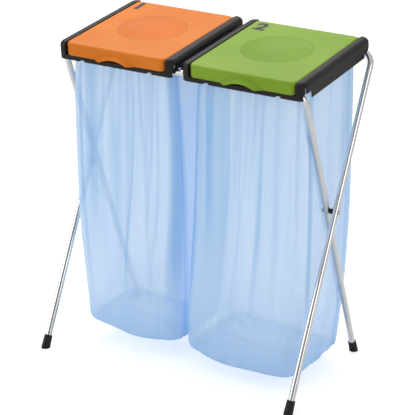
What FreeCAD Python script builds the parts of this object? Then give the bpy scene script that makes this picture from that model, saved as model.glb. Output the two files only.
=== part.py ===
import FreeCAD, Part
import math
import os
import re

# A folding double recycling bin. Two bent steel tubes cross as an X on each side and are
# riveted where they cross. Two identical moulded rims hang side by side on the tubes' upper
# bars, each with a hinged lid above and a film bag below.
#
# Millimetres, +Z up. X runs across both bins, -Y is the front, where the lids are lifted.
# The origin is on the floor, midway between the bins.

doc = FreeCAD.newDocument("double_recycling_bin")
sheet = doc.addObject("Spreadsheet::Sheet", "Sizes")

DRIVING_SIZES = {
    # Where the two upper bars and the four feet stand.
    "rear_bar_back": 174.0,
    "rear_bar_height": 803.0,
    "front_bar_forward": 137.0,
    "front_bar_height": 771.5,
    "front_foot_forward": 205.0,
    "rear_foot_back": 205.0,
    # Bent tube. The outer tube's span is measured between the centre lines of its two legs,
    # and the inner tube's legs stand one step further in.
    "outer_span": 702.0,
    "leg_step": 23.5,
    "tube_radius": 8.0,
    "tube_wall": 1.2,
    "bend_radius": 30.0,
    "tube_end_gap": 5.0,
    # Foot caps.
    "cap_radius": 11.6,
    "cap_top_radius": 10.4,
    "cap_height": 33.0,
    # Pivot of the X.
    "rivet_radius": 3.0,
    "rivet_head_radius": 6.0,
    "rivet_head_taper": 2.0,
    "rivet_head_height": 2.2,
    "spacer_radius": 6.5,
    # Rims. Two of them, and the gap between them, fill the space between the outer legs.
    "rim_clearance": 5.5,
    "rim_gap": 17.0,
    "rim_height": 43.6,
    "rim_wall": 2.5,
    "rim_corner": 20.0,
    "rim_shoulder": 13.0,
    "bar_inset": 20.0,
    "bar_rise": 9.0,
    "notch_front": 14.5,
    "notch_back": 18.5,
    "notch_top": 17.5,
    "notch_corner": 8.0,
    "flange_height": 11.5,
    "flange_depth": 7.0,
    "deck_height": 35.5,
    "hinge_well_height": 28.5,
    "hinge_well_depth": 28.0,
    "rail_hollow_height": 38.0,
    "rail_hollow_inset": 6.5,
    "mouth_margin": 3.5,
    "mouth_setback": 45.3,
    "mouth_corner": 24.0,
    "collar_bottom": 10.0,
    "hook_inset": 69.5,
    "hook_width": 14.0,
    "hook_wall": 3.4,
    "hook_opening": 5.0,
    "rib_thickness": 6.0,
    # Lids. Each lies between its rim's two rails.
    "rail_width": 23.0,
    "lid_wall": 2.5,
    "lid_plate": 3.0,
    "lid_corner": 18.0,
    "lid_edge_round": 6.0,
    "lid_lip_bottom": 12.2,
    "lid_back_inset": 13.0,
    "dish_radius": 85.5,
    "dish_depth": 4.0,
    "scoop_width": 114.0,
    "scoop_height": 19.8,
    "scoop_reach": 11.0,
    "scoop_drop": 8.6,
    # Lid hinges.
    "hinge_inset": 19.0,
    "hinge_rise": 38.0,
    "pin_radius": 2.0,
    "pin_length": 15.0,
    "pin_boss_radius": 4.6,
    "pin_boss_length": 9.0,
    "pin_boss_floor": 1.0,
    # Bags and the hoops that hold them on the rims' collars.
    "film_wall": 1.6,
    "bag_band": 22.0,
    "bag_side_inset": 9.5,
    "bag_fullness": 12.5,
    "bag_lean": 11.0,
    "bag_bottom_inset": 13.0,
    "bag_bottom_setback": 18.5,
    "bag_bottom_height": 55.0,
    "bag_corner": 50.0,
    "bag_shoulder_drop": 31.0,
    "bag_belly_height": 260.0,
    "hoop_thickness": 2.5,
    "hoop_height": 12.0,
    # Clearances.
    "running_clearance": 0.06,
    "seat_clearance": 0.3,
    "lid_clearance": 0.6,
}

for row, (word, number) in enumerate(DRIVING_SIZES.items(), start=1):
    sheet.set(f"A{row}", word)
    sheet.set(f"B{row}", str(number))
    sheet.setAlias(f"B{row}", word)
doc.recompute()

size = {word: float(sheet.get(word)) for word in DRIVING_SIZES}

X_AXIS = FreeCAD.Vector(1, 0, 0)
Y_AXIS = FreeCAD.Vector(0, 1, 0)
Z_AXIS = FreeCAD.Vector(0, 0, 1)
ALONG_X = FreeCAD.Rotation(Y_AXIS, 90)
SIDES = {"left": -1, "right": 1}
BEYOND = 40.0  # how far a cutter runs past the solid that it opens


def bound(text):
    """Turn a formula of plain size names into an expression that reads the sheet."""
    return re.sub(r"\b[a-z]+(?:_[a-z]+)+\b", lambda found: f"Sizes.{found.group()}", text)


def primitive(kind, name, formulas, base=(0, 0, 0), rotation=None):
    """Add a primitive whose sizes follow the sheet."""
    made = doc.addObject(f"Part::{kind}", name)
    for property_name, text in formulas.items():
        made.setExpression(property_name, bound(text))
    turn = rotation or FreeCAD.Rotation()
    made.Placement = FreeCAD.Placement(FreeCAD.Vector(*base), turn)
    return made


def box(name, x_range, y_range, z_range):
    """Add a box between pairs of formulas, one pair for each axis."""
    made = doc.addObject("Part::Box", name)
    for length, axis, (low, high) in zip(
        ("Length", "Width", "Height"), "xyz", (x_range, y_range, z_range)
    ):
        made.setExpression(length, bound(f"({high}) - ({low})"))
        made.setExpression(f".Placement.Base.{axis}", bound(low))
    return made


def boolean(kind, name, first, *others):
    """Combine two objects, or fuse several first and then combine."""
    other = others[0]
    if len(others) > 1:
        other = doc.addObject("Part::MultiFuse", f"{name}_tools")
        other.Shapes = list(others)
    made = doc.addObject(f"Part::{kind}", name)
    made.Base = first
    made.Tool = other
    return made


def cut(name, first, *others):
    return boolean("Cut", name, first, *others)


def fuse(name, *pieces):
    made = doc.addObject("Part::MultiFuse", name)
    made.Shapes = list(pieces)
    return made


def rounded(name, base, radius, wanted):
    """Fillet the edges of base for which wanted(edge) is true."""
    doc.recompute()
    numbers = [n for n, edge in enumerate(base.Shape.Edges, start=1) if wanted(edge)]
    made = doc.addObject("Part::Fillet", name)
    made.Base = base
    made.Edges = [(n, radius, radius) for n in numbers]
    return made


def upright(edge):
    first, last = (v.Point for v in (edge.Vertexes[0], edge.Vertexes[-1]))
    return abs(first.z - last.z) > 1.0


def at_height(level):
    return lambda edge: all(abs(v.Point.z - level) < 0.01 for v in edge.Vertexes)


def rounded_block(name, x_range, y_range, z_range, corner):
    """A block with rounded upright edges."""
    return rounded(name, box(f"{name}_block", x_range, y_range, z_range), corner, upright)


def name_part(made, node, placement=None):
    """Label a finished piece as a node, and put it in its place."""
    made.Label = node
    if placement is not None:
        made.Placement = placement
    parts[node] = made
    return made


parts = {}

# The two bars carry the rims, so the rims' slope and depth follow from where the bars are.
bar_run = size["rear_bar_back"] + size["front_bar_forward"]
bar_climb = size["rear_bar_height"] - size["front_bar_height"]
bar_distance = math.hypot(bar_run, bar_climb)
rim_tilt = math.degrees(math.atan2(bar_climb, bar_run))
rim_turn = FreeCAD.Rotation(X_AXIS, rim_tilt)
rim_width = (size["outer_span"] - size["rim_gap"]) / 2 - size["tube_radius"]
rim_width -= size["rim_clearance"]
rim_offset = (rim_width + size["rim_gap"]) / 2
bars_middle = FreeCAD.Vector(
    0,
    (size["rear_bar_back"] - size["front_bar_forward"]) / 2,
    (size["rear_bar_height"] + size["front_bar_height"]) / 2,
)
rim_origin = bars_middle + rim_turn.multVec(FreeCAD.Vector(0, 0, -size["bar_rise"]))
BAR_DISTANCE = (
    "sqrt((rear_bar_back + front_bar_forward)^2 + (rear_bar_height - front_bar_height)^2)"
)
HALF_DEPTH = f"({BAR_DISTANCE} / 2 + bar_inset)"
half_depth = bar_distance / 2 + size["bar_inset"]
RIM_WIDTH = "((outer_span - rim_gap) / 2 - tube_radius - rim_clearance)"
LID_WIDTH = f"({RIM_WIDTH} - 2 * rail_width)"
lid_width = rim_width - 2 * size["rail_width"]
MOUTH_HALF_WIDTH = f"({LID_WIDTH} / 2 - mouth_margin)"
mouth_half_width = lid_width / 2 - size["mouth_margin"]
MOUTH_HALF_DEPTH = f"({HALF_DEPTH} - mouth_setback)"
mouth_half_depth = half_depth - size["mouth_setback"]


def rim_place(sign):
    """The frame of one rim: x from its middle, y towards the back, z up from its skirt."""
    shift = FreeCAD.Vector(sign * rim_offset, 0, 0)
    return FreeCAD.Placement(rim_origin + shift, rim_turn)


# ---------------------------------------------------------------- crossed tubes and feet


def leg_geometry(bar_y, bar_z, foot_y):
    """The lean of a tube's legs, and the way from its bar to the floor along a leg."""
    lean = math.degrees(math.atan2(bar_y - foot_y, bar_z))
    return FreeCAD.Rotation(X_AXIS, -lean), math.hypot(bar_y - foot_y, bar_z)


outer_turn, outer_leg = leg_geometry(
    size["rear_bar_back"], size["rear_bar_height"], -size["front_foot_forward"]
)
inner_turn, inner_leg = leg_geometry(
    -size["front_bar_forward"], size["front_bar_height"], size["rear_foot_back"]
)
outer_bar = FreeCAD.Vector(0, size["rear_bar_back"], size["rear_bar_height"])
inner_bar = FreeCAD.Vector(0, -size["front_bar_forward"], size["front_bar_height"])
inner_span = size["outer_span"] - 2 * size["leg_step"]

# Each tube's span and leg length, as a formula and as a number.
OUTER = {
    "span": ("outer_span", size["outer_span"]),
    "leg": ("sqrt((rear_bar_back + front_foot_forward)^2 + rear_bar_height^2)", outer_leg),
}
INNER = {
    "span": ("(outer_span - 2 * leg_step)", inner_span),
    "leg": ("sqrt((front_bar_forward + rear_foot_back)^2 + front_bar_height^2)", inner_leg),
}


def crossing():
    """Where the legs cross, seen from the side."""
    outer_slope = (size["rear_bar_back"] + size["front_foot_forward"]) / size["rear_bar_height"]
    inner_slope = (size["front_bar_forward"] + size["rear_foot_back"]) / size["front_bar_height"]
    feet = size["rear_foot_back"] + size["front_foot_forward"]
    height = feet / (outer_slope + inner_slope)
    return FreeCAD.Vector(0, height * outer_slope - size["front_foot_forward"], height)


pivot = crossing()


def bent_bar(name, tube, radius, past_end=0):
    """A solid U: a bar along X at z = 0, two bends, and two legs down."""
    span_text, span = tube["span"]
    leg_text, leg = tube["leg"]
    bend = size["bend_radius"]
    reach = span / 2
    end_z = size["tube_end_gap"] - leg - past_end
    pieces = [
        primitive(
            "Cylinder",
            f"{name}_bar",
            {"Radius": radius, "Height": f"{span_text} - 2 * bend_radius"},
            (bend - reach, 0, 0),
            ALONG_X,
        )
    ]
    for side, sign in SIDES.items():
        turn = FreeCAD.Rotation(Z_AXIS, 0 if sign > 0 else 180)
        bend_piece = primitive(
            "Torus",
            f"{name}_bend_{side}",
            {"Radius1": "bend_radius", "Radius2": radius},
            (sign * (reach - bend), 0, -bend),
            turn.multiply(FreeCAD.Rotation(X_AXIS, 90)),
        )
        bend_piece.Angle3 = 90
        pieces.append(bend_piece)
        pieces.append(
            primitive(
                "Cylinder",
                f"{name}_leg_{side}",
                {
                    "Radius": radius,
                    "Height": f"{leg_text} - tube_end_gap - bend_radius + {past_end}",
                },
                (sign * reach, 0, end_z),
            )
        )
    return fuse(name, *pieces)


def bent_tube(node, tube, bar, turn, hole_radius):
    """A hollow U with a rivet hole through both legs."""
    outside = bent_bar(f"{node}_outside", tube, "tube_radius")
    inside = bent_bar(f"{node}_inside", tube, "tube_radius - tube_wall", BEYOND)
    span_text, span = tube["span"]
    hole = primitive(
        "Cylinder",
        f"{node}_hole",
        {"Radius": hole_radius, "Height": f"{span_text} + {2 * BEYOND}"},
        (-span / 2 - BEYOND, 0, -(pivot - bar).Length),
        ALONG_X,
    )
    name_part(cut(f"{node}_tube", outside, inside, hole), node, FreeCAD.Placement(bar, turn))


bent_tube("outer_tube", OUTER, outer_bar, outer_turn, "rivet_radius")
bent_tube("inner_tube", INNER, inner_bar, inner_turn, "rivet_radius + running_clearance")


def foot_cap(node, foot_x, foot_y, turn):
    """A moulded cap around a leg's end, cut flat where it stands on the floor."""
    foot = FreeCAD.Vector(foot_x, foot_y, 0)
    below = turn.multVec(FreeCAD.Vector(0, 0, -size["cap_radius"]))
    sleeve = primitive(
        "Cone",
        f"{node}_sleeve",
        {
            "Radius1": "cap_radius",
            "Radius2": "cap_top_radius",
            "Height": "cap_height + cap_radius",
        },
        foot + below,
        turn,
    )
    bore = primitive(
        "Cylinder",
        f"{node}_bore",
        {"Radius": "tube_radius", "Height": "cap_height"},
        foot + turn.multVec(FreeCAD.Vector(0, 0, size["tube_end_gap"])),
        turn,
    )
    floor = box(
        f"{node}_floor",
        (f"{foot_x} - {BEYOND}", f"{foot_x} + {BEYOND}"),
        (f"{foot_y} - {BEYOND}", f"{foot_y} + {BEYOND}"),
        (f"-{BEYOND}", "0"),
    )
    name_part(cut(f"{node}_cap", sleeve, bore, floor), node)


for side, sign in SIDES.items():
    foot_cap(
        f"front_foot_cap_{side}",
        sign * size["outer_span"] / 2,
        -size["front_foot_forward"],
        outer_turn,
    )
    foot_cap(
        f"rear_foot_cap_{side}",
        sign * inner_span / 2,
        size["rear_foot_back"],
        inner_turn,
    )

# ---------------------------------------------------------------- rivets and spacers

shank_start = inner_span / 2 - size["tube_radius"] - size["seat_clearance"]
for side, sign in SIDES.items():
    outward = FreeCAD.Rotation(Y_AXIS, 90 * sign)
    start = pivot + X_AXIS * (sign * shank_start)
    head_start = start - X_AXIS * (sign * size["rivet_head_height"])
    end = pivot + X_AXIS * (sign * (size["outer_span"] / 2 + size["tube_radius"]))
    shank = primitive(
        "Cylinder",
        f"rivet_shank_{side}",
        {
            "Radius": "rivet_radius",
            "Height": "leg_step + 2 * tube_radius + seat_clearance",
        },
        start,
        outward,
    )
    heads = [
        primitive(
            "Cone",
            f"rivet_{word}_head_{side}",
            {"Radius1": first, "Radius2": last, "Height": "rivet_head_height"},
            place,
            outward,
        )
        for word, place, first, last in (
            ("inner", head_start, "rivet_head_radius - rivet_head_taper", "rivet_head_radius"),
            ("outer", end, "rivet_head_radius", "rivet_head_radius - rivet_head_taper"),
        )
    ]
    name_part(fuse(f"rivet_{side}", shank, *heads), f"pivot_rivet_{side}")

    # The spacer fills the step between the crossed legs. It fits round the outer leg and
    # ends flat beside the inner one, which turns against it.
    flat_end = pivot + X_AXIS * (
        sign * (inner_span / 2 + size["tube_radius"] + size["seat_clearance"])
    )
    spacer_length = "leg_step - tube_radius - seat_clearance"
    sleeve, bore = (
        primitive(
            "Cylinder",
            f"spacer_{word}_{side}",
            {"Radius": radius, "Height": spacer_length},
            flat_end,
            outward,
        )
        for word, radius in (("sleeve", "spacer_radius"), ("bore", "rivet_radius"))
    )
    saddle = primitive(
        "Cylinder",
        f"spacer_saddle_{side}",
        {"Radius": "tube_radius", "Height": f"{2 * BEYOND}"},
        pivot + X_AXIS * (sign * size["outer_span"] / 2) - outer_turn.multVec(Z_AXIS) * BEYOND,
        outer_turn,
    )
    name_part(cut(f"spacer_{side}", sleeve, bore, saddle), f"pivot_spacer_{side}")

# ---------------------------------------------------------------- rims

half_rim = f"{RIM_WIDTH} / 2"
LID_BAY = f"({LID_WIDTH} / 2 + lid_clearance)"
DECK_UNDER = "deck_height - rim_wall"
WELL_UNDER = "hinge_well_height - rim_wall"
FRONT_WALL = f"(flange_depth - {HALF_DEPTH})"
HINGE_WELL = f"({HALF_DEPTH} - hinge_well_depth)"
hinge_y = half_depth - size["hinge_inset"]


def across(half):
    return f"-({half})", half


def rim(side, sign):
    """One moulded rim: side rails, a sunken deck with the mouth and its collar, and hooks."""
    name = f"rim_{side}"
    block = rounded_block(
        f"{name}_plan",
        across(half_rim),
        across(HALF_DEPTH),
        ("0", "rim_height"),
        size["rim_corner"],
    )
    shell = rounded(
        f"{name}_shoulders", block, size["rim_shoulder"], at_height(size["rim_height"])
    )

    # Above: the bay for the lid, the step in front for its lip, and the well for its hinge.
    far = f"({HALF_DEPTH} + {BEYOND})"
    high = f"rim_height + {BEYOND}"
    bay = box(f"{name}_bay", across(LID_BAY), across(far), ("deck_height", high))
    step = box(f"{name}_step", across(LID_BAY), (f"-{far}", FRONT_WALL), ("flange_height", high))
    well = box(f"{name}_well", across(LID_BAY), (HINGE_WELL, far), ("hinge_well_height", high))

    # Below: the hollow under the deck, lower under the well, and the hollows of the rails.
    inner_half = f"{half_rim} - rim_wall"
    back_wall = f"{HALF_DEPTH} - rim_wall"
    hollow = rounded_block(
        f"{name}_hollow",
        across(inner_half),
        (f"{FRONT_WALL} + rim_wall", back_wall),
        (f"-{BEYOND}", WELL_UNDER),
        size["rim_corner"] - size["rim_wall"],
    )
    under_deck = box(
        f"{name}_under_deck",
        across(inner_half),
        (f"{FRONT_WALL} + rim_wall", f"{HINGE_WELL} - rim_wall"),
        ("0", DECK_UNDER),
    )
    rail_hollows = [
        box(
            f"{name}_rail_hollow_{word}",
            ends,
            (f"{FRONT_WALL} + 2 * rim_corner", f"{back_wall} - rim_shoulder"),
            ("0", "rail_hollow_height"),
        )
        for word, ends in (
            ("low", (f"rail_hollow_inset - {half_rim}", f"-({LID_BAY} + rim_wall)")),
            ("high", (f"{LID_BAY} + rim_wall", f"{half_rim} - rail_hollow_inset")),
        )
    ]

    # Notches in the side skirts, where the two bars pass.
    notches = []
    for end, ends in (
        ("front", (f"-({BAR_DISTANCE} / 2 + notch_front)", f"notch_back - {BAR_DISTANCE} / 2")),
        ("rear", (f"{BAR_DISTANCE} / 2 - notch_back", f"{BAR_DISTANCE} / 2 + notch_front")),
    ):
        for word, reach in (
            ("low", (f"-({half_rim} + {BEYOND})", f"rim_corner - {half_rim}")),
            ("high", (f"{half_rim} - rim_corner", f"{half_rim} + {BEYOND}")),
        ):
            tall = box(f"{name}_{end}_notch_{word}_block", reach, ends, (f"-{BEYOND}", "notch_top"))
            notches.append(
                rounded(
                    f"{name}_{end}_notch_{word}",
                    tall,
                    size["notch_corner"],
                    lambda edge: edge.BoundBox.XLength > 1 and edge.BoundBox.ZMin > 1,
                )
            )
    body = cut(
        f"{name}_body", shell, bay, step, well, hollow, under_deck, *rail_hollows, *notches
    )

    # The mouth, with a collar below it that the bag is drawn over.
    collar = rounded_block(
        f"{name}_collar",
        across(f"{MOUTH_HALF_WIDTH} + rim_wall"),
        across(f"{MOUTH_HALF_DEPTH} + rim_wall"),
        ("collar_bottom", f"{DECK_UNDER} + rim_wall / 2"),
        size["mouth_corner"] + size["rim_wall"],
    )
    mouth = rounded_block(
        f"{name}_mouth",
        across(MOUTH_HALF_WIDTH),
        across(MOUTH_HALF_DEPTH),
        (f"-{BEYOND}", high),
        size["mouth_corner"],
    )

    # Ribs rest on the front bar, and hooks snap over the rear bar.
    bar_y = bar_distance / 2
    hook_pieces = []
    hook_cutters = []
    for word, hand in SIDES.items():
        middle = hand * (rim_width / 2 - size["hook_inset"])
        centre_text = f"{hand} * ({half_rim} - hook_inset)"
        ends = (f"{centre_text} - hook_width / 2", f"{centre_text} + hook_width / 2")
        for end, centre in (("front", f"-({BAR_DISTANCE} / 2)"), ("rear", f"{BAR_DISTANCE} / 2")):
            under = DECK_UNDER if end == "front" else WELL_UNDER
            hook_pieces.append(
                box(
                    f"{name}_{end}_rib_{word}",
                    ends,
                    (f"{centre} - rib_thickness / 2", f"{centre} + rib_thickness / 2"),
                    ("bar_rise + tube_radius + seat_clearance", f"{under} + rim_wall / 2"),
                )
            )
        start = (middle - size["hook_width"] / 2, bar_y, size["bar_rise"])
        hook_pieces.append(
            primitive(
                "Cylinder",
                f"{name}_hook_{word}",
                {"Radius": "tube_radius + running_clearance + hook_wall", "Height": "hook_width"},
                start,
                ALONG_X,
            )
        )
        hook_cutters.append(
            primitive(
                "Cylinder",
                f"{name}_hook_seat_{word}",
                {"Radius": "tube_radius + running_clearance", "Height": "hook_width"},
                start,
                ALONG_X,
            )
        )
        hook_cutters.append(
            box(
                f"{name}_hook_opening_{word}",
                ends,
                across(f"{HALF_DEPTH}"),
                (f"-{BEYOND}", "bar_rise - hook_opening"),
            )
        )

    # Bosses in the rails take the hinge pins.
    bosses = []
    pin_holes = []
    for word, hand in SIDES.items():
        outward = FreeCAD.Rotation(Y_AXIS, 90 * hand)
        wall_x = hand * (lid_width / 2 + size["lid_clearance"])
        place = (wall_x, hinge_y, size["hinge_rise"])
        bosses.append(
            primitive(
                "Cylinder",
                f"{name}_boss_{word}",
                {"Radius": "pin_boss_radius", "Height": "pin_boss_length"},
                place,
                outward,
            )
        )
        pin_holes.append(
            primitive(
                "Cylinder",
                f"{name}_pin_hole_{word}",
                {
                    "Radius": "pin_radius + running_clearance",
                    "Height": "pin_boss_length - pin_boss_floor",
                },
                place,
                outward,
            )
        )
    solid = fuse(f"{name}_solid", body, collar, *hook_pieces, *bosses)
    made = cut(f"{name}_moulding", solid, mouth, *hook_cutters, *pin_holes)
    name_part(made, name, rim_place(sign))


# ---------------------------------------------------------------- lids and hinge pins

LID_BACK = f"({HALF_DEPTH} - lid_back_inset)"
SCOOP_RADIUS = "(scoop_width^2 / 4 + scoop_height^2) / (2 * scoop_height)"
SCOOP_SLOPE = "scoop_drop / scoop_reach"


def lid(side, sign):
    """A lid: a thin plate with turned-down edges, a deep front lip, a dish and a finger scoop."""
    name = f"lid_{side}"
    plan = rounded_block(
        f"{name}_plan",
        across(f"{LID_WIDTH} / 2"),
        (f"-{HALF_DEPTH}", LID_BACK),
        ("lid_lip_bottom", "rim_height"),
        size["lid_corner"],
    )
    outside = rounded(
        f"{name}_outside", plan, size["lid_edge_round"], at_height(size["rim_height"])
    )
    hollow = rounded_block(
        f"{name}_hollow",
        across(f"{LID_WIDTH} / 2 - lid_wall"),
        (f"lid_wall - {HALF_DEPTH}", f"{LID_BACK} - lid_wall"),
        ("0", "rim_height - lid_plate"),
        size["lid_corner"] - size["lid_wall"],
    )
    # Only the lip in front reaches below the deck, in front of the rim's step.
    behind_lip = box(
        f"{name}_behind_lip",
        across(f"{LID_WIDTH} / 2 + {BEYOND}"),
        (f"{FRONT_WALL} - lid_clearance", f"{HALF_DEPTH} + {BEYOND}"),
        ("0", "deck_height + seat_clearance"),
    )
    # In the middle the lip flares out over the fingers, as a piece of a hollow cone.
    flare, finger_room = (
        primitive(
            "Cone",
            f"{name}_{word}",
            {
                "Radius1": f"{SCOOP_RADIUS} + {SCOOP_SLOPE} * lid_wall - {thinner}",
                "Radius2": f"{SCOOP_RADIUS} - {SCOOP_SLOPE} * {reach} - {thinner}",
                "Height": f"{reach} + lid_wall",
            },
            (0, size["lid_wall"] - half_depth, size["lid_lip_bottom"] + scoop_centre()),
            FreeCAD.Rotation(X_AXIS, 90),
        )
        for word, thinner, reach in (
            ("flare", "0", "scoop_reach"),
            ("finger_room", "lid_wall", "2 * scoop_reach"),
        )
    )
    below_lip = box(
        f"{name}_below_lip",
        across(f"{LID_WIDTH} / 2"),
        (f"-({HALF_DEPTH} + {BEYOND})", f"-{HALF_DEPTH} / 2"),
        (f"-2 * {RIM_WIDTH}", "lid_lip_bottom"),
    )
    plate = fuse(f"{name}_plate", outside, cut(f"{name}_visor", flare, below_lip))
    shell = cut(f"{name}_shell", plate, hollow, behind_lip, finger_room)

    # The dish is thickened from below, then hollowed from above by a large ball.
    dish_back = primitive(
        "Cylinder",
        f"{name}_dish_back",
        {"Radius": "dish_radius + lid_plate", "Height": "dish_depth + lid_plate / 2"},
        (0, 0, size["rim_height"] - size["lid_plate"] - size["dish_depth"]),
    )
    ball_radius = (size["dish_radius"] ** 2 + size["dish_depth"] ** 2) / (2 * size["dish_depth"])
    ball = primitive(
        "Sphere",
        f"{name}_dish_ball",
        {"Radius": "(dish_radius^2 + dish_depth^2) / (2 * dish_depth)"},
        (0, 0, size["rim_height"] - size["dish_depth"] + ball_radius),
    )

    # Lugs inside the back corners hold the hinge pins.
    lugs = []
    pin_seats = []
    for word, hand in SIDES.items():
        inward = FreeCAD.Rotation(Y_AXIS, -90 * hand)
        place = (hand * lid_width / 2, hinge_y, size["hinge_rise"])
        lugs.append(
            primitive(
                "Cylinder",
                f"{name}_lug_{word}",
                {"Radius": "pin_boss_radius", "Height": "pin_boss_length"},
                place,
                inward,
            )
        )
        pin_seats.append(
            primitive(
                "Cylinder",
                f"{name}_pin_seat_{word}",
                {"Radius": "pin_radius", "Height": "pin_boss_length - pin_boss_floor"},
                place,
                inward,
            )
        )
    solid = fuse(f"{name}_solid", shell, dish_back, *lugs)
    made = cut(f"{name}_moulding", solid, ball, *pin_seats)
    name_part(made, name, rim_place(sign))


def scoop_centre():
    """How far above the lip's edge the axis of the scoop's cone lies: far below, so negative."""
    rise = size["scoop_height"]
    return rise - (size["scoop_width"] ** 2 / 4 + rise**2) / (2 * rise)


def hinge_pins(side, sign):
    """Two short pins, one in each back corner of the lid."""
    pins = []
    for word, hand in SIDES.items():
        outward = FreeCAD.Rotation(Y_AXIS, 90 * hand)
        seat = size["pin_boss_length"] - size["pin_boss_floor"]
        pins.append(
            primitive(
                "Cylinder",
                f"hinge_pin_{side}_{word}",
                {"Radius": "pin_radius", "Height": "pin_length"},
                (hand * (lid_width / 2 - seat), hinge_y, size["hinge_rise"]),
                outward,
            )
        )
    made = doc.addObject("Part::Compound", f"hinge_pins_{side}_pair")
    made.Links = pins
    name_part(made, f"hinge_pins_{side}", rim_place(sign))


# ---------------------------------------------------------------- bags and their hoops


def outline(half_x, half_y, corner, place):
    """A closed rounded rectangle of lines and arcs, laid in a placement's XY plane."""
    edges = []
    corners = ((1, 1), (-1, 1), (-1, -1), (1, -1))
    slant = corner * (1 - math.sqrt(0.5))
    arcs = []
    for x_hand, y_hand in corners:
        on_side = FreeCAD.Vector(x_hand * half_x, y_hand * (half_y - corner), 0)
        middle = FreeCAD.Vector(x_hand * (half_x - slant), y_hand * (half_y - slant), 0)
        on_end = FreeCAD.Vector(x_hand * (half_x - corner), y_hand * half_y, 0)
        points = [on_side, middle, on_end]
        if x_hand * y_hand < 0:
            points.reverse()
        arcs.append([place.multVec(point) for point in points])
    for here, arc in enumerate(arcs):
        following = arcs[(here + 1) % len(arcs)]
        edges.append(Part.Arc(*arc).toShape())
        edges.append(Part.LineSegment(arc[-1], following[0]).toShape())
    return Part.Wire(edges)


def bag_sections(sign, inset):
    """Outlines of a bag from its mouth to its bottom, drawn in by inset.

    The outer legs stand close to the rims' sides, so below the mouth a bag leans inwards.
    Its level shoulder lies below the lower end of the sloping band.
    """
    tilted = rim_place(sign)
    gap = size["rim_wall"] + size["seat_clearance"] + size["film_wall"] - inset
    band_x = mouth_half_width + gap
    band_y = mouth_half_depth + gap
    band_corner = size["mouth_corner"] + gap
    band_top = size["deck_height"] - size["rim_wall"] - size["seat_clearance"]
    levels = [band_top, band_top - size["bag_band"]]
    sections = [
        outline(
            band_x,
            band_y,
            band_corner,
            tilted.multiply(FreeCAD.Placement(Z_AXIS * level, FreeCAD.Rotation())),
        )
        for level in levels
    ]
    belly_x = rim_width / 2 - size["bag_side_inset"] - inset
    belly_y = mouth_half_depth + size["bag_fullness"] - inset
    band_ends = [
        tilted.multVec(FreeCAD.Vector(0, hand * (band_y + inset), levels[-1]))
        for hand in SIDES.values()
    ]
    shoulder_z = min(end.z for end in band_ends) - size["bag_shoulder_drop"]
    for half_x, half_y, height in (
        (belly_x, belly_y, shoulder_z),
        (belly_x, belly_y, size["bag_belly_height"]),
        (
            belly_x - size["bag_bottom_inset"],
            belly_y - size["bag_bottom_setback"],
            size["bag_bottom_height"] + inset,
        ),
    ):
        middle = FreeCAD.Vector(sign * (rim_offset - size["bag_lean"]), rim_origin.y, height)
        place = FreeCAD.Placement(middle, FreeCAD.Rotation())
        sections.append(outline(half_x, half_y, size["bag_corner"] - inset, place))
    return sections


def bag(side, sign):
    """A hanging film bag, open at the top: its mouth is a band around the rim's collar."""
    outside = Part.makeLoft(bag_sections(sign, 0), True, True)
    inside = Part.makeLoft(bag_sections(sign, size["film_wall"]), True, True)
    made = doc.addObject("Part::Feature", f"bag_{side}_film")
    made.Shape = outside.cut(inside)
    name_part(made, f"bag_{side}")


def hoop(side, sign):
    """A thin hoop that clamps the bag's mouth on the collar."""
    grip = "rim_wall + seat_clearance + film_wall + seat_clearance"
    grip_size = size["rim_wall"] + size["film_wall"] + 2 * size["seat_clearance"]
    heights = ("collar_bottom + rim_wall", "collar_bottom + rim_wall + hoop_height")
    corner = size["mouth_corner"] + grip_size
    outside = rounded_block(
        f"hoop_{side}_outside",
        across(f"{MOUTH_HALF_WIDTH} + {grip} + hoop_thickness"),
        across(f"{MOUTH_HALF_DEPTH} + {grip} + hoop_thickness"),
        heights,
        corner + size["hoop_thickness"],
    )
    inside = rounded_block(
        f"hoop_{side}_inside",
        across(f"{MOUTH_HALF_WIDTH} + {grip}"),
        across(f"{MOUTH_HALF_DEPTH} + {grip}"),
        ("0", f"rim_height + {BEYOND}"),
        corner,
    )
    name_part(cut(f"hoop_{side}_ring", outside, inside), f"bag_hoop_{side}", rim_place(sign))


for side, sign in SIDES.items():
    rim(side, sign)
    lid(side, sign)
    hinge_pins(side, sign)
    bag(side, sign)
    hoop(side, sign)

# ---------------------------------------------------------------- checks and files

doc.recompute()
for made in doc.Objects:
    if "Invalid" in made.State or "Error" in made.State:
        raise RuntimeError(f"{made.Name} did not build: {made.State}")
os.makedirs("parts", exist_ok=True)
for node, made in parts.items():
    if made.Shape.isNull() or not made.Shape.isValid():
        raise RuntimeError(f"{node} has no valid shape")
    made.Shape.exportStep(f"parts/{node}.step")
    box_of = made.Shape.BoundBox
    print(
        f"{node:24s} solids {len(made.Shape.Solids)}  volume {made.Shape.Volume / 1000:9.1f} cm3"
        f"  z {box_of.ZMin:7.1f} to {box_of.ZMax:7.1f}"
    )
hinge_place = rim_origin + rim_turn.multVec(FreeCAD.Vector(0, hinge_y, size["hinge_rise"]))
print(f"rim tilt {rim_tilt:.3f} deg, half depth {half_depth:.2f}, rim origin {rim_origin}")
print(f"pivot {pivot}, lid hinge {hinge_place}, rear bar {outer_bar}")
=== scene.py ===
import bpy
import math
import numpy as np
from mathutils import Matrix, Vector


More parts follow.
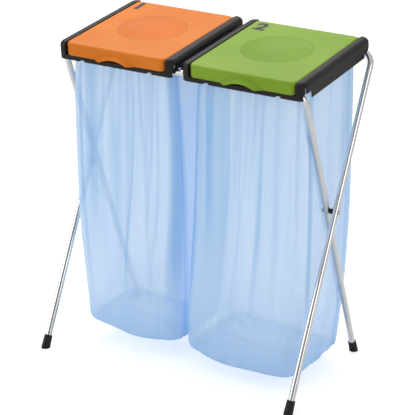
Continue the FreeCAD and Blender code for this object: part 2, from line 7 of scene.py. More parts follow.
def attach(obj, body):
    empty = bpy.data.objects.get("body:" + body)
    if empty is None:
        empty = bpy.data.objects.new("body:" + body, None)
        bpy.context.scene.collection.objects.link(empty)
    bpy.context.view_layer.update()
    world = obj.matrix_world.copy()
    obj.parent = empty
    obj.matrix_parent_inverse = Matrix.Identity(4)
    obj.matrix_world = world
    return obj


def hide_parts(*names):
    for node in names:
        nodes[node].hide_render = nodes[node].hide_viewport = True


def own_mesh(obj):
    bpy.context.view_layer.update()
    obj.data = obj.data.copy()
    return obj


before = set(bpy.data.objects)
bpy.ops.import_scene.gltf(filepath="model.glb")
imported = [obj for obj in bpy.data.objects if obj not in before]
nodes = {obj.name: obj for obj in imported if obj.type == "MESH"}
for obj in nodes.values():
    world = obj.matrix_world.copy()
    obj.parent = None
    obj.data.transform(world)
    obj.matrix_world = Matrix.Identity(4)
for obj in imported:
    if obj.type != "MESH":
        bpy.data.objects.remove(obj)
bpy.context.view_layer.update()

bpy.ops.object.select_all(action="DESELECT")

# Two U-shaped frames of bent steel tube, 16 mm across, riveted together as an X on each side.
# The tube is drawn, bent cold, polished and chromed, so it mirrors the room softly and keeps
# faint lengthwise drawing marks.
drawn = bpy.data.node_groups.new("drawn_marks", "ShaderNodeTree")
drawn.interface.new_socket("Across", in_out="INPUT", socket_type="NodeSocketFloat")
drawn.interface.new_socket("Along", in_out="INPUT", socket_type="NodeSocketFloat")
drawn.interface.new_socket("Marks", in_out="OUTPUT", socket_type="NodeSocketFloat")
drawn.interface.new_socket("Clouds", in_out="OUTPUT", socket_type="NodeSocketFloat")
made, wire = drawn.nodes.new, drawn.links.new
taken, given = made("NodeGroupInput"), made("NodeGroupOutput")
place, stretch = made("ShaderNodeTexCoord"), made("ShaderNodeMapping")
both = made("ShaderNodeCombineXYZ")
fine, cloudy = made("ShaderNodeTexNoise"), made("ShaderNodeTexNoise")
fine.inputs["Scale"].default_value = 1.0
fine.inputs["Detail"].default_value = 3.0
cloudy.inputs["Scale"].default_value = 14.0
wire(taken.outputs["Across"], both.inputs["X"])
wire(taken.outputs["Across"], both.inputs["Y"])
wire(taken.outputs["Along"], both.inputs["Z"])
wire(both.outputs["Vector"], stretch.inputs["Scale"])
wire(place.outputs["Object"], stretch.inputs["Vector"])
wire(stretch.outputs["Vector"], fine.inputs["Vector"])
wire(place.outputs["Object"], cloudy.inputs["Vector"])
wire(fine.outputs["Fac"], given.inputs["Marks"])
wire(cloudy.outputs["Fac"], given.inputs["Clouds"])

chrome = bpy.data.materials.new("chromed_tube")
chrome.use_nodes = True
made, wire = chrome.node_tree.nodes.new, chrome.node_tree.links.new
shader = chrome.node_tree.nodes["Principled BSDF"]
shader.inputs["Metallic"].default_value = 1.0
marks = made("ShaderNodeGroup")
marks.node_tree = drawn
marks.inputs["Across"].default_value = 900.0
marks.inputs["Along"].default_value = 30.0
tint, gloss = made("ShaderNodeValToRGB"), made("ShaderNodeMapRange")
tint.color_ramp.elements[0].color = (0.70, 0.70, 0.705, 1)
tint.color_ramp.elements[1].color = (0.86, 0.855, 0.845, 1)
gloss.inputs["To Min"].default_value = 0.12
gloss.inputs["To Max"].default_value = 0.26
bump = made("ShaderNodeBump")
bump.inputs["Strength"].default_value = 0.05
bump.inputs["Distance"].default_value = 0.0002
wire(marks.outputs["Clouds"], tint.inputs["Fac"])
wire(tint.outputs["Color"], shader.inputs["Base Color"])
wire(marks.outputs["Marks"], gloss.inputs["Value"])
wire(gloss.outputs["Result"], shader.inputs["Roughness"])
wire(marks.outputs["Marks"], bump.inputs["Height"])
wire(bump.outputs["Normal"], shader.inputs["Normal"])
for name in ("outer_tube", "inner_tube"):
    nodes[name].material_slots[0].material = chrome

# Four moulded caps close the tubes' ends and stand on the floor, and a dark nylon spacer
# fills the step between the crossed legs. All are injection-moulded in near-black plastic
# with an eroded surface, a little dusty and paler where they rub.
grain = bpy.data.node_groups.new("moulded_grain", "ShaderNodeTree")
grain.interface.new_socket("Grain size", in_out="INPUT", socket_type="NodeSocketFloat")
grain.interface.new_socket("Grain", in_out="OUTPUT", socket_type="NodeSocketFloat")
grain.interface.new_socket("Blotches", in_out="OUTPUT", socket_type="NodeSocketFloat")
made, wire = grain.nodes.new, grain.links.new
taken, given = made("NodeGroupInput"), made("NodeGroupOutput")
place, cells = made("ShaderNodeTexCoord"), made("ShaderNodeTexVoronoi")
speck, blotch, mixed = made("ShaderNodeTexNoise"), made("ShaderNodeTexNoise"), made("ShaderNodeMath")
speck.inputs["Detail"].default_value = 4.0
blotch.inputs["Scale"].default_value = 9.0
blotch.inputs["Detail"].default_value = 3.0
mixed.operation = "MULTIPLY_ADD"
mixed.inputs[1].default_value = 0.6
wire(place.outputs["Object"], cells.inputs["Vector"])
wire(place.outputs["Object"], speck.inputs["Vector"])
wire(place.outputs["Object"], blotch.inputs["Vector"])
wire(taken.outputs["Grain size"], cells.inputs["Scale"])
wire(taken.outputs["Grain size"], speck.inputs["Scale"])
wire(cells.outputs["Distance"], mixed.inputs[0])
wire(speck.outputs["Fac"], mixed.inputs[2])
wire(mixed.outputs["Value"], given.inputs["Grain"])
wire(blotch.outputs["Fac"], given.inputs["Blotches"])

plastics = {
    "dark_plastic": ((0.010, 0.009, 0.009), (0.018, 0.017, 0.016), 0.42, 0.60, 1500.0, 0.25, 0.3),
    "anthracite_rim": ((0.013, 0.011, 0.010), (0.020, 0.017, 0.016), 0.36, 0.50, 1300.0, 0.3, 0.26),
    "orange_lid": ((0.77, 0.200, 0.012), (0.83, 0.235, 0.020), 0.34, 0.48, 1100.0, 0.3, 0.20),
    "green_lid": ((0.226, 0.392, 0.024), (0.262, 0.432, 0.034), 0.34, 0.48, 1100.0, 0.3, 0.20),
}
moulded = {}
for name, (deep, pale, low, high, size, depth, gleam) in plastics.items():
    plastic = moulded[name] = bpy.data.materials.new(f"moulded_{name}")
    plastic.use_nodes = True
    made, wire = plastic.node_tree.nodes.new, plastic.node_tree.links.new
    shader = plastic.node_tree.nodes["Principled BSDF"]
    skin = made("ShaderNodeGroup")
    skin.node_tree = grain
    skin.inputs["Grain size"].default_value = size
    tint, gloss, bump = made("ShaderNodeValToRGB"), made("ShaderNodeMapRange"), made("ShaderNodeBump")
    tint.color_ramp.elements[0].position = 0.30
    tint.color_ramp.elements[1].position = 0.70
    tint.color_ramp.elements[0].color = (*deep, 1)
    tint.color_ramp.elements[1].color = (*pale, 1)
    gloss.inputs["To Min"].default_value = low
    gloss.inputs["To Max"].default_value = high
    shader.inputs["Specular IOR Level"].default_value = gleam
    bump.inputs["Strength"].default_value = depth
    bump.inputs["Distance"].default_value = 0.0003
    wire(skin.outputs["Blotches"], tint.inputs["Fac"])
    wire(tint.outputs["Color"], shader.inputs["Base Color"])
    wire(skin.outputs["Grain"], gloss.inputs["Value"])
    wire(gloss.outputs["Result"], shader.inputs["Roughness"])
    wire(skin.outputs["Grain"], bump.inputs["Height"])
    wire(bump.outputs["Normal"], shader.inputs["Normal"])

# Each lid's top has a shallow round dish, 171 mm across, formed by the mould. A fine dark line of
# painted shade rings its edge, and the plastic inside it is painted a little deeper in colour as
# painted shade of the hollow.
dish = bpy.data.node_groups.new("moulded_dish", "ShaderNodeTree")
dish.interface.new_socket("Middle", in_out="INPUT", socket_type="NodeSocketVector")
dish.interface.new_socket("Bowl", in_out="OUTPUT", socket_type="NodeSocketFloat")
dish.interface.new_socket("Edge", in_out="OUTPUT", socket_type="NodeSocketFloat")
dish.interface.new_socket("Inside", in_out="OUTPUT", socket_type="NodeSocketFloat")
made, wire = dish.nodes.new, dish.links.new
taken, given = made("NodeGroupInput"), made("NodeGroupOutput")
place = made("ShaderNodeTexCoord")
offset, turned = made("ShaderNodeVectorMath"), made("ShaderNodeVectorMath")
reach, share, bowl = made("ShaderNodeVectorMath"), made("ShaderNodeMath"), made("ShaderNodeMath")
past_edge, edge, capped = made("ShaderNodeMath"), made("ShaderNodeMapRange"), made("ShaderNodeMath")
offset.operation, turned.operation, reach.operation = "SUBTRACT", "CROSS_PRODUCT", "LENGTH"
turned.inputs[1].default_value = (0.0, -0.10078, 0.99491)
share.operation, share.inputs[1].default_value = "DIVIDE", 0.0855
capped.operation, capped.inputs[1].default_value = "MINIMUM", 1.0
bowl.operation, bowl.inputs[1].default_value = "POWER", 2.0
past_edge.operation, past_edge.inputs[1].default_value = "SUBTRACT", 1.0
edge.interpolation_type = "SMOOTHSTEP"
edge.inputs["From Min"].default_value = -0.018
edge.inputs["From Max"].default_value = 0.0
far_side = made("ShaderNodeMapRange")
far_side.interpolation_type = "SMOOTHSTEP"
far_side.inputs["From Min"].default_value = 0.018
far_side.inputs["From Max"].default_value = 0.0
both = made("ShaderNodeMath")
both.operation = "MULTIPLY"
inside = made("ShaderNodeMapRange")
inside.interpolation_type = "SMOOTHSTEP"
inside.inputs["From Min"].default_value = 0.0
inside.inputs["From Max"].default_value = -0.10
wire(place.outputs["Object"], offset.inputs[0])
wire(taken.outputs["Middle"], offset.inputs[1])
wire(offset.outputs["Vector"], turned.inputs[0])
wire(turned.outputs["Vector"], reach.inputs[0])
wire(reach.outputs["Value"], share.inputs[0])
wire(share.outputs["Value"], capped.inputs[0])
wire(capped.outputs["Value"], bowl.inputs[0])
wire(share.outputs["Value"], past_edge.inputs[0])
wire(past_edge.outputs["Value"], edge.inputs["Value"])
wire(past_edge.outputs["Value"], inside.inputs["Value"])
wire(past_edge.outputs["Value"], far_side.inputs["Value"])
wire(edge.outputs["Result"], both.inputs[0])
wire(far_side.outputs["Result"], both.inputs[1])
wire(bowl.outputs["Value"], given.inputs["Bowl"])
wire(both.outputs["Value"], given.inputs["Edge"])
wire(inside.outputs["Result"], given.inputs["Inside"])
for name, across, shade in (
    ("orange_lid", -0.173, (0.99, 0.86, 0.45, 1)),
    ("green_lid", 0.173, (0.88, 0.94, 0.55, 1)),
):
    plastic = moulded[name]
    made, wire = plastic.node_tree.nodes.new, plastic.node_tree.links.new
    shader = plastic.node_tree.nodes["Principled BSDF"]
    tint = shader.inputs["Base Color"].links[0].from_node
    grained = shader.inputs["Normal"].links[0].from_node
    pressed, shaded, edge_shade = made("ShaderNodeGroup"), made("ShaderNodeMix"), made("ShaderNodeMix")
    hollow, step = made("ShaderNodeBump"), made("ShaderNodeBump")
    pressed.node_tree = dish
    pressed.inputs["Middle"].default_value = (across, 0.01501, 0.82167)
    shaded.data_type, shaded.blend_type = "RGBA", "MULTIPLY"
    edge_shade.data_type, edge_shade.blend_type = "RGBA", "MULTIPLY"
    # Painted shade: the inside of the dish is multiplied a little deeper in colour, and a dark line is
    # multiplied in at its edge.
    shaded.inputs["B"].default_value = shade
    edge_shade.inputs["B"].default_value = (0.50, 0.42, 0.40, 1)
    hollow.inputs["Distance"].default_value = 0.0090
    hollow.inputs["Strength"].default_value = 1.0
    step.inputs["Distance"].default_value = 0.0006
    step.inputs["Strength"].default_value = 0.6
    step.invert = True
    wire(pressed.outputs["Inside"], shaded.inputs["Factor"])
    wire(pressed.outputs["Edge"], edge_shade.inputs["Factor"])
    wire(tint.outputs["Color"], shaded.inputs["A"])
    wire(shaded.outputs["Result"], edge_shade.inputs["A"])
    wire(edge_shade.outputs["Result"], shader.inputs["Base Color"])
    wire(pressed.outputs["Bowl"], hollow.inputs["Height"])
    wire(pressed.outputs["Edge"], step.inputs["Height"])
    wire(hollow.outputs["Normal"], step.inputs["Normal"])
    wire(step.outputs["Normal"], grained.inputs["Normal"])
for side in ("left", "right"):
    for name in ("front_foot_cap", "rear_foot_cap", "pivot_spacer"):
        nodes[f"{name}_{side}"].material_slots[0].material = moulded["dark_plastic"]
    nodes[f"rim_{side}"].material_slots[0].material = moulded["anthracite_rim"]
nodes["lid_left"].material_slots[0].material = moulded["orange_lid"]
nodes["lid_right"].material_slots[0].material = moulded["green_lid"]

# A turned steel rivet holds each crossing, and two short pins carry each lid. They are
# zinc-plated, duller than the tubes, with turning marks.
zinc = bpy.data.materials.new("zinc_plated_steel")
zinc.use_nodes = True
made, wire = zinc.node_tree.nodes.new, zinc.node_tree.links.new
shader = zinc.node_tree.nodes["Principled BSDF"]
shader.inputs["Metallic"].default_value = 1.0
marks = made("ShaderNodeGroup")
marks.node_tree = drawn
marks.inputs["Across"].default_value = 1400.0
marks.inputs["Along"].default_value = 1400.0
tint, gloss = made("ShaderNodeValToRGB"), made("ShaderNodeMapRange")
tint.color_ramp.elements[0].color = (0.42, 0.42, 0.43, 1)
tint.color_ramp.elements[1].color = (0.62, 0.61, 0.59, 1)
gloss.inputs["To Min"].default_value = 0.28
gloss.inputs["To Max"].default_value = 0.45
wire(marks.outputs["Marks"], tint.inputs["Fac"])
wire(tint.outputs["Color"], shader.inputs["Base Color"])
wire(marks.outputs["Clouds"], gloss.inputs["Value"])
wire(gloss.outputs["Result"], shader.inputs["Roughness"])
for name in ("pivot_rivet_left", "pivot_rivet_right", "hinge_pins_left", "hinge_pins_right"):
    nodes[name].material_slots[0].material = zinc

# A plain printed numeral, 42 mm tall, marks each lid near its rear left corner. It is a thin
# coat of black ink on the plastic.
ink = bpy.data.materials.new("printed_ink")
ink.use_nodes = True
made, wire = ink.node_tree.nodes.new, ink.node_tree.links.new
shader = ink.node_tree.nodes["Principled BSDF"]
skin, tint = made("ShaderNodeGroup"), made("ShaderNodeValToRGB")
skin.node_tree = grain
skin.inputs["Grain size"].default_value = 900.0
tint.color_ramp.elements[0].color = (0.006, 0.006, 0.006, 1)
tint.color_ramp.elements[1].color = (0.016, 0.015, 0.014, 1)
shader.inputs["Roughness"].default_value = 0.55
wire(skin.outputs["Blotches"], tint.inputs["Fac"])
wire(tint.outputs["Color"], shader.inputs["Base Color"])
lid_slope = Matrix.Rotation(math.radians(5.784), 4, "X")
for side, number, across, along in (("left", "1", -0.289, 0.139), ("right", "2", 0.066, 0.134)):
    met, spot, _, _ = nodes[f"lid_{side}"].ray_cast(Vector((across, along, 2.0)), Vector((0, 0, -1)))
    bpy.ops.object.text_add()
    numeral = bpy.context.object
    numeral.name = f"numeral_{side}"
    numeral.data.body = number
    numeral.data.size = 0.062
    numeral.data.offset = 0.0026
    numeral.data.extrude = 0.00015
    numeral.data.resolution_u = 6
    numeral.data.align_x = numeral.data.align_y = "CENTER"
    bpy.ops.object.convert(target="MESH")
    numeral = bpy.context.object
    numeral.matrix_world = Matrix.Translation(spot) @ lid_slope @ Matrix.Translation((0, 0, 0.0002))
    bpy.ops.object.transform_apply(location=True, rotation=True, scale=True)
    numeral.data.materials.append(ink)
    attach(numeral, f"lid_{side}")
    numeral.select_set(False)

# The bags are blown film sacks, 600 by 900 mm when flat, in pale blue polyethylene. Each is
# gathered round its rim's collar, hangs in long vertical folds between the legs, bulges where
# nothing holds it, and ends in a sagging bottom with one straight welded seam.
film = bpy.data.materials.new("blue_film")
film.use_nodes = True
film.use_backface_culling = False
made, wire = film.node_tree.nodes.new, film.node_tree.links.new
shader = film.node_tree.nodes["Principled BSDF"]
place, stretch = made("ShaderNodeTexCoord"), made("ShaderNodeMapping")
stretch.inputs["Scale"].default_value = (48.0, 48.0, 1.5)
streak, crinkle = made("ShaderNodeTexNoise"), made("ShaderNodeTexNoise")
streak.inputs["Scale"].default_value = 1.0
streak.inputs["Detail"].default_value = 4.0
crinkle.inputs["Scale"].default_value = 28.0
crinkle.inputs["Detail"].default_value = 3.0
# The attribute makes the film deeper where it is doubled in folds and at the seam, and also, as painted
# shade, over the bottom.
fold_and_bottom_shade, density_and_shade, creased = made("ShaderNodeAttribute"), made("ShaderNodeMath"), made("ShaderNodeMath")
fold_and_bottom_shade.attribute_name = "film_fold_and_bottom_shade"
tint, dense = made("ShaderNodeValToRGB"), made("ShaderNodeMapRange")
tint.color_ramp.elements[0].position = 0.09
tint.color_ramp.elements[0].color = (0.515, 0.665, 0.82, 1)
tint.color_ramp.elements[1].color = (0.14, 0.35, 0.67, 1)
density_and_shade.operation = "MULTIPLY_ADD"
density_and_shade.inputs[1].default_value = 0.40
slant, steeper, along = made("ShaderNodeLayerWeight"), made("ShaderNodeMath"), made("ShaderNodeMath")
steeper.operation, steeper.inputs[1].default_value = "POWER", 4.0
along.operation, along.inputs[1].default_value = "MULTIPLY_ADD", 0.5
dense.inputs["From Min"].default_value = 0.09
dense.inputs["To Min"].default_value = 0.62
dense.inputs["To Max"].default_value = 0.94
shader.inputs["Roughness"].default_value = 0.22
# The film glows faintly in its own colour: painted light standing in for the light that shines through
# it from behind.
shader.inputs["Emission Strength"].default_value = 0.31
bump = made("ShaderNodeBump")
bump.inputs["Strength"].default_value = 0.55
bump.inputs["Distance"].default_value = 0.0016
wire(place.outputs["Object"], stretch.inputs["Vector"])
wire(place.outputs["Object"], crinkle.inputs["Vector"])
wire(stretch.outputs["Vector"], streak.inputs["Vector"])
wire(streak.outputs["Fac"], density_and_shade.inputs[0])
wire(slant.outputs["Facing"], steeper.inputs[0])
wire(steeper.outputs["Value"], along.inputs[0])
wire(fold_and_bottom_shade.outputs["Fac"], along.inputs[2])
wire(along.outputs["Value"], density_and_shade.inputs[2])
wire(density_and_shade.outputs["Value"], tint.inputs["Fac"])
wire(density_and_shade.outputs["Value"], dense.inputs["Value"])
wire(tint.outputs["Color"], shader.inputs["Base Color"])
wire(tint.outputs["Color"], shader.inputs["Emission Color"])
wire(dense.outputs["Result"], shader.inputs["Alpha"])
wire(crinkle.outputs["Fac"], creased.inputs[0])
wire(streak.outputs["Fac"], creased.inputs[1])
wire(creased.outputs["Value"], bump.inputs["Height"])
wire(bump.outputs["Normal"], shader.inputs["Normal"])

rim_slope = math.radians(5.784)
rim_middle_y, rim_bottom_z, mouth_rise = 0.0194, 0.7783, 0.0325
# Round the collar the film stands out by these: to the legs, to the other bag, to the front
# and to the back, then the radius of its corners. Lower down the same follows a share of the
# height above the bottom.
collar = (0.3154, 0.0306, 0.1155, 0.1542, 0.0284)
hang = {
    "left": [
        (0.00, 0.2990, 0.0190, 0.1090, 0.1400, 0.048),
        (0.18, 0.3090, 0.0130, 0.1190, 0.1530, 0.050),
        (0.33, 0.3150, 0.0100, 0.1245, 0.1600, 0.045),
        (0.47, 0.3180, 0.0090, 0.1265, 0.1620, 0.040),
        (0.72, 0.3205, 0.0140, 0.1280, 0.1630, 0.034),
        (0.91, 0.3220, 0.0250, 0.1260, 0.1610, 0.030),
        (1.00, 0.3160, 0.0306, 0.1160, 0.1550, 0.028),
    ],
    "right": [
        (0.00, 0.3180, 0.0020, 0.1190, 0.1580, 0.050),
        (0.10, 0.3220, 0.0050, 0.1240, 0.1650, 0.048),
        (0.25, 0.3260, 0.0140, 0.1270, 0.1710, 0.044),
        (0.47, 0.3265, 0.0240, 0.1275, 0.1720, 0.038),
        (0.72, 0.3230, 0.0280, 0.1280, 0.1660, 0.034),
        (0.91, 0.3200, 0.0280, 0.1260, 0.1610, 0.030),
        (1.00, 0.3160, 0.0306, 0.1160, 0.1550, 0.028),
    ],
}
# The bottom's height, its slope across and to the back, and the radius of the turn into it.
bottoms = {"left": (0.059, 0.045, 0.0, 0.012), "right": (0.051, -0.050, 0.03, 0.014)}
# Folds on the front wall: where they stand as a share of its width from the other bag, their
# width, how far they stand out, how much they lean, where they start and end as shares of the
# height, and how deep the doubled film looks there.
folds = {
    "left": [
        (-0.17, 0.0190, 0.0030, 0.000, 1.00, 0.00, 0.60),
        (0.055, 0.0030, -0.0020, 0.012, 1.00, 0.10, 0.22),
        (0.130, 0.0035, -0.0022, 0.015, 1.00, 0.30, 0.20),
        (0.300, 0.0030, -0.0024, -0.045, 1.00, 0.45, 0.26),
        (0.330, 0.0022, -0.0018, 0.035, 0.86, 0.00, 0.30),
        (0.560, 0.0140, -0.0030, 0.020, 1.00, 0.30, 0.12),
        (0.720, 0.0040, -0.0022, 0.020, 1.00, 0.50, 0.20),
        (0.900, 0.0180, -0.0030, -0.035, 0.92, 0.20, 0.26),
        (1.040, 0.0060, -0.0040, 0.000, 1.00, 0.00, 0.30),
    ],
    "right": [
        (-0.19, 0.0150, 0.0030, -0.006, 1.00, 0.00, 0.45),
        (0.070, 0.0110, 0.0020, 0.010, 1.00, 0.25, 0.34),
        (0.180, 0.0200, 0.0020, 0.020, 0.95, 0.00, 0.16),
        (0.410, 0.0030, -0.0020, 0.020, 0.92, 0.10, 0.14),
        (0.620, 0.0080, -0.0024, 0.018, 1.00, 0.20, 0.14),
        (0.860, 0.0045, -0.0020, 0.012, 1.00, 0.20, 0.12),
        (1.120, 0.0050, -0.0030, 0.006, 1.00, 0.30, 0.20),
        (1.370, 0.0090, -0.0030, 0.000, 1.00, 0.00, 0.46),
    ],
}
around, upwards, bottom_rows, turn_rows = 360, 140, 14, 8
lengths = np.array([0.194, 0.0707, 0.218, 0.0707, 0.194, 0.0707, 0.218, 0.0707])
ends = np.concatenate([[0], np.cumsum(lengths)])
girth = ends[-1]
for side, seed in (("left", 11), ("right", 23)):
    out = -1.0 if side == "left" else 1.0
    bpy.ops.mesh.primitive_uv_sphere_add(segments=around, ring_count=upwards, radius=1.0)
    bag = bpy.context.object
    bag.name = f"film_bag_{side}"
    bpy.ops.object.mode_set(mode="EDIT")
    bpy.ops.mesh.select_all(action="SELECT")
    top_ring = -math.cos(math.pi * (1.0 - 1.5 / upwards))
    bpy.ops.mesh.bisect(plane_co=(0, 0, top_ring), plane_no=(0, 0, 1), clear_outer=True)
    bpy.ops.object.mode_set(mode="OBJECT")
    count = len(bag.data.vertices)
    ball = np.empty(count * 3)
    bag.data.vertices.foreach_get("co", ball)
    ball = ball.reshape(-1, 3)
    row = (np.arcsin(np.clip(ball[:, 2], -1, 1)) / math.pi + 0.5) * upwards
    walk = (np.arctan2(ball[:, 1], ball[:, 0]) / (2 * math.pi)) % 1.0 * girth

    # From the pole up: the flat bottom, the rounded turn into the wall, then the wall.
    bottom_z, across_slope, back_slope, turn_radius = bottoms[side]
    spread = np.clip(row / bottom_rows, 0, 1)
    bend = np.clip((row - bottom_rows) / turn_rows, 0, 1) * math.pi / 2
    first = bottom_rows + turn_rows
    climb = np.clip((row - first) / (upwards - 1.5 - first), 0, 1)
    inset, lift = turn_radius * (1 - np.sin(bend)), turn_radius * (1 - np.cos(bend))
    clamped = np.clip((climb - 0.935) / 0.03, 0, 1)
    steps, levels, sizes = np.linspace(-0.1, 1.1, 241), np.array(hang[side]), []
    for number, gripped in enumerate(collar, start=1):
        eased = np.interp(steps, levels[:, 0], levels[:, number])
        for _ in range(2):
            eased = np.convolve(np.pad(eased, 8, "edge"), np.ones(17) / 17, "valid")
        sizes.append(np.interp(climb, steps, eased) * (1 - clamped) + gripped * clamped)
    far, near, front, back, corner = sizes
    high_x, low_x, low_y, high_y = far - inset, near + inset, inset - front, back - inset
    corner = np.maximum(corner - inset, 0.012)

    # Each level is a rounded rectangle: four walls, and four corners between them.
    part = np.clip(np.searchsorted(ends, walk, side="right") - 1, 0, 7)
    share = (walk - ends[part]) / lengths[part]
    span_x, span_y = high_x - low_x - 2 * corner, high_y - low_y - 2 * corner
    x, y, nx, ny = (np.zeros(count) for _ in range(4))
    for number, wall_x, wall_y, facing in (
        (0, high_x, low_y + corner + share * span_y, (1, 0)),
        (2, high_x - corner - share * span_x, high_y, (0, 1)),
        (4, low_x, high_y - corner - share * span_y, (-1, 0)),
        (6, low_x + corner + share * span_x, low_y, (0, -1)),
    ):
        on = part == number
        x[on], y[on] = wall_x[on], wall_y[on]
        nx[on], ny[on] = facing
    for number, mid_x, mid_y in (
        (1, high_x - corner, high_y - corner),
        (3, low_x + corner, high_y - corner),
        (5, low_x + corner, low_y + corner),
        (7, high_x - corner, low_y + corner),
    ):
        on = part == number
        angle = (number // 2 + share[on]) * math.pi / 2
        nx[on], ny[on] = np.cos(angle), np.sin(angle)
        x[on], y[on] = mid_x[on] + corner[on] * nx[on], mid_y[on] + corner[on] * ny[on]

    # The folds seen in front come first, then soft ridges and pleats of uneven width all round.
    dice = np.random.RandomState(seed)
    placed = [(ends[6] + at * lengths[6], *rest) for at, *rest in folds[side]]
    for _ in range(26):
        start = dice.choice([1.0, 1.0, 0.9, 0.7])
        wide, high = 0.014 + 0.022 * dice.rand(), 0.0050 * (dice.rand() - 0.5)
        stop = start - 0.4 - 0.6 * dice.rand()
        placed.append((dice.rand() * girth, wide, high, 0.05 * (dice.rand() - 0.5), start, stop, 0.05))
    for _ in range(34):
        start = dice.choice([1.0, 1.0, 0.8])
        wide, high = 0.0022 + 0.004 * dice.rand(), -0.0018 * dice.rand()
        stop = start - 0.3 - 0.6 * dice.rand()
        spot = dice.rand() * girth
        placed.append((spot, wide, high, 0.05 * (dice.rand() - 0.5), start, stop, 0.22 * dice.rand()))
    for bend_at in ends[1:6]:
        spot, wide = bend_at + 0.02 * (dice.rand() - 0.5), 0.006 + 0.005 * dice.rand()
        placed.append((spot, wide, -0.004, 0.02 * (dice.rand() - 0.5), 1.0, -0.2, 0.3))
    push, deep = np.zeros(count), np.zeros(count)
    for at, wide, high, lean, start, stop, depth in placed:
        wander = 0.003 * np.sin(climb * (3 + 5 * dice.rand()) + 6 * dice.rand())
        shown = np.clip((climb - stop) / 0.3, 0, 1) * np.clip((start + 0.08 - climb) / 0.08, 0, 1)
        away = (walk - at - lean * (1 - climb) - wander + girth / 2) % girth - girth / 2
        push += high * shown * np.exp(-((away / wide) ** 2))
        deep += depth * shown * np.exp(-((away / (wide * 1.2)) ** 4))
    # Where the film is clamped on the collar it can't fold, and it is free below.
    free = np.clip((0.967 - climb) / 0.05, 0, 1) * spread
    belly = np.sin(math.pi * share**0.7) * np.clip((0.93 - climb) / 0.15, 0, 1)
    push = push * free + (part == 6) * belly * (0.004 + 0.010 * np.clip(1 - climb / 0.5, 0, 1))
    push += (part == 2) * belly * 0.004
    # The right bag's lower corner by the leg is crumpled.
    low_edge = np.clip(1 - climb / 0.12, 0, 1) * spread
    if side == "right":
        by_leg = low_edge * np.exp(-(((walk - 0.06) % girth - 0.02) / 0.10) ** 2)
        push += by_leg * 0.0045 * np.sin(walk * 190 + 3 * np.sin(walk * 71)) * np.cos(60 * climb)
    x, y = x + nx * push, y + ny * push
    mid_x, mid_y = 0.5 * (far + near), 0.5 * (back - front)
    x, y = mid_x + (x - mid_x) * spread, mid_y + (y - mid_y) * spread

    # The mouth slopes with the rim, and the bottom sags between its corners.
    mouth_z = rim_bottom_z + (y - rim_middle_y) * math.tan(rim_slope) + mouth_rise
    sag = 0.006 * np.clip(1 - ((x - mid_x) / 0.15) ** 2, 0, 1)
    floor_z = bottom_z - sag + across_slope * (x - mid_x) + back_slope * (y - mid_y)
    ripple = 0.0010 * np.sin(46 * x + 9 * y)
    seam = np.exp(-(((y - mid_y) / 0.005) ** 2)) * np.clip((bottom_rows - row) / 3.0, 0, 1)
    low = floor_z + lift + ripple * np.clip(1 - climb / 0.1, 0, 1) * spread - 0.004 * seam
    z = low + climb * (mouth_z - low)

    # The inner leg lies against the side and presses a soft groove into it.
    leg_run, leg_rise, leg_top_y, leg_face_x = 0.342, 0.7715, 0.137, 0.3163
    leg_length = math.hypot(leg_run, leg_rise)
    off_leg = np.abs((y + leg_top_y) * leg_rise + (z - leg_rise) * leg_run) / leg_length
    x = np.minimum(x, leg_face_x + 0.7 * np.clip(off_leg - 0.010, 0, 1))
    ball[:, 0], ball[:, 1], ball[:, 2] = out * x, y, z
    bag.data.vertices.foreach_set("co", ball.reshape(-1))
    if out < 0:
        bpy.ops.object.mode_set(mode="EDIT")
        bpy.ops.mesh.select_all(action="SELECT")
        bpy.ops.mesh.flip_normals()
        bpy.ops.object.mode_set(mode="OBJECT")
    # The attribute adds the doubled film in the folds and at the seam to painted shade. The bottom is
    # darkened as painted shade of the bag's inside, and the lowest part of the wall is a little darker.
    depth = bag.data.attributes.new("film_fold_and_bottom_shade", "FLOAT", "POINT")
    bottom_shade_and_seam = 0.45 * np.clip(1 - bend, 0, 1) + 0.3 * seam + 0.2 * low_edge
    depth.data.foreach_set("value", np.clip(deep * np.clip(free + 0.4, 0, 1) + bottom_shade_and_seam, 0, 1))
    bag.data.update()
    bpy.ops.object.shade_smooth()
    bag.data.materials.append(film)
    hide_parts(f"bag_{side}")
    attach(bag, f"rim_{side}")
    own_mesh(bag)
    bag.select_set(False)

# A thin sprung hoop clamps each bag's mouth on the collar. It is moulded like the rims.
for side in ("left", "right"):
    nodes[f"bag_hoop_{side}"].material_slots[0].material = moulded["anthracite_rim"]

# The plain pale floor, which runs past the picture on every side.
bpy.ops.mesh.primitive_grid_add(x_subdivisions=8, y_subdivisions=8, size=40.0, location=(0, 0, 0))
floor = bpy.context.object
floor.name = "studio_floor"
paper = bpy.data.materials.new("floor_paper")
paper.use_nodes = True
made, wire = paper.node_tree.nodes.new, paper.node_tree.links.new
shader = paper.node_tree.nodes["Principled BSDF"]
shader.inputs["Roughness"].default_value = 0.9
shader.inputs["Specular IOR Level"].default_value = 0.1
shader.inputs["Emission Color"].default_value = (1, 1, 1, 1)
place, blotch, tint = made("ShaderNodeTexCoord"), made("ShaderNodeTexNoise"), made("ShaderNodeValToRGB")
ray, lit = made("ShaderNodeLightPath"), made("ShaderNodeMath")
blotch.inputs["Scale"].default_value = 3.0
tint.color_ramp.elements[0].color = (0.80, 0.80, 0.80, 1)
tint.color_ramp.elements[1].color = (0.82, 0.82, 0.82, 1)
lit.operation = "MULTIPLY"
lit.inputs[1].default_value = 0.55
wire(place.outputs["Object"], blotch.inputs["Vector"])
wire(blotch.outputs["Fac"], tint.inputs["Fac"])
wire(tint.outputs["Color"], shader.inputs["Base Color"])
wire(ray.outputs["Is Camera Ray"], lit.inputs[0])
wire(lit.outputs["Value"], shader.inputs["Emission Strength"])
floor.data.materials.append(paper)

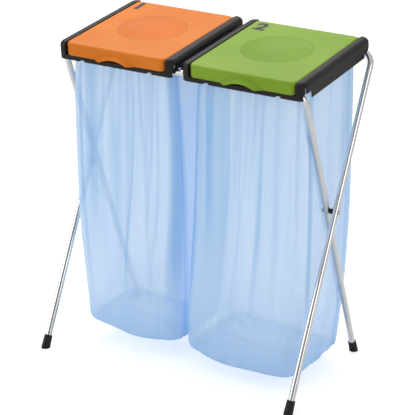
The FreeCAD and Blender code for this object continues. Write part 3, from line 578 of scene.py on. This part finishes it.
# Soft studio light: white walls all round, with dark drapes behind the camera that give the
# tubes their dark lines, a large panel above the back and two small ones at the sides.
bpy.context.scene.world = bpy.data.worlds.new("studio")
world = bpy.context.scene.world
world.use_nodes = True
made, wire = world.node_tree.nodes.new, world.node_tree.links.new
background = world.node_tree.nodes["Background"]
direction, drapes = made("ShaderNodeTexCoord"), made("ShaderNodeVectorMath")
walls = made("ShaderNodeValToRGB")
ray, seen = made("ShaderNodeLightPath"), made("ShaderNodeMix")
drapes.operation = "DOT_PRODUCT"
drapes.inputs[1].default_value = (0.494, -0.870, -0.15)
walls.color_ramp.elements[0].position = 0.55
walls.color_ramp.elements[0].color = (0.62, 0.62, 0.62, 1)
walls.color_ramp.elements[1].position = 0.86
walls.color_ramp.elements[1].color = (0.16, 0.16, 0.165, 1)
seen.data_type = "RGBA"
seen.inputs["B"].default_value = (1, 1, 1, 1)
wire(direction.outputs["Generated"], drapes.inputs[0])
wire(drapes.outputs["Value"], walls.inputs["Fac"])
wire(ray.outputs["Is Camera Ray"], seen.inputs["Factor"])
wire(walls.outputs["Color"], seen.inputs["A"])
wire(seen.outputs["Result"], background.inputs["Color"])
for name, spot, aim, width, energy in (
    ("key_panel", (-1.1, 1.2, 3.3), (0, 0, 0.6), 2.4, 58.0),
    ("side_panel", (3.0, -1.6, 1.4), (0, 0, 0.5), 1.8, 16.0),
    ("front_panel", (-2.6, -2.6, 1.6), (0, 0, 0.5), 1.8, 24.0),
):
    bpy.ops.object.light_add(type="AREA", location=spot)
    lamp = bpy.context.object
    lamp.name = name
    lamp.data.size = width
    lamp.data.energy = energy
    lamp.rotation_euler = (Vector(spot) - Vector(aim)).to_track_quat("Z", "Y").to_euler()
    lamp.select_set(False)

# The camera stands to the right in front, a little above the lids, and is rolled slightly.
azimuth, elevation, roll = math.radians(29.6), math.radians(20.5), math.radians(1.2)
aim = Vector((0.0164, -0.0259, 0.4017))
outward = Vector((math.sin(azimuth), -math.cos(azimuth), 0))
toward = outward * math.cos(elevation) + Vector((0, 0, math.sin(elevation)))
level = Vector((math.cos(azimuth), math.sin(azimuth), 0))
upright = toward.cross(level)
right = level * math.cos(roll) + upright * math.sin(roll)
upward = toward.cross(right)
turned = Matrix((right, upward, toward)).transposed().to_euler()
bpy.ops.object.camera_add(location=aim + toward * 4.41315, rotation=turned)
camera = bpy.context.object
camera.data.lens = 154.64
camera.data.sensor_width = 36.0
camera.data.clip_end = 100.0
bpy.context.scene.camera = camera
bpy.context.scene.view_settings.view_transform = "Standard"
